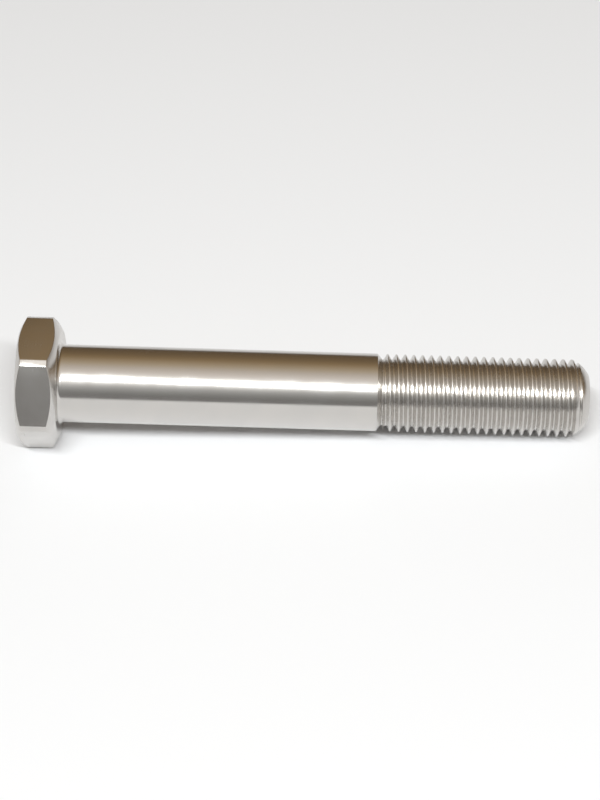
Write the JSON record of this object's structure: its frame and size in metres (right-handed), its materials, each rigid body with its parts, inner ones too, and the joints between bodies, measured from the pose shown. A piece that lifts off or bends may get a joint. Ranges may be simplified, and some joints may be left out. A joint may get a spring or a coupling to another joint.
{
  "type": "hexagon head bolt",
  "caption": "Partly threaded hexagon-head bolt with a long plain shank, a fine right-hand thread and a chamfered point.",
  "frame": {"origin": "centre of the bearing face under the head, on the bolt's axis", "axes": "+X along the axis from the head to the point, +Z square to one flat of the hexagon, +Y towards a corner"},
  "size_m": [0.0683, 0.016, 0.0142],
  "materials": {
    "bolt_steel": "turned shank and thread, satin head"
  },
  "bodies": {
    "root": {"hex_bolt": "bolt_steel"}
  },
  "joints": []
}
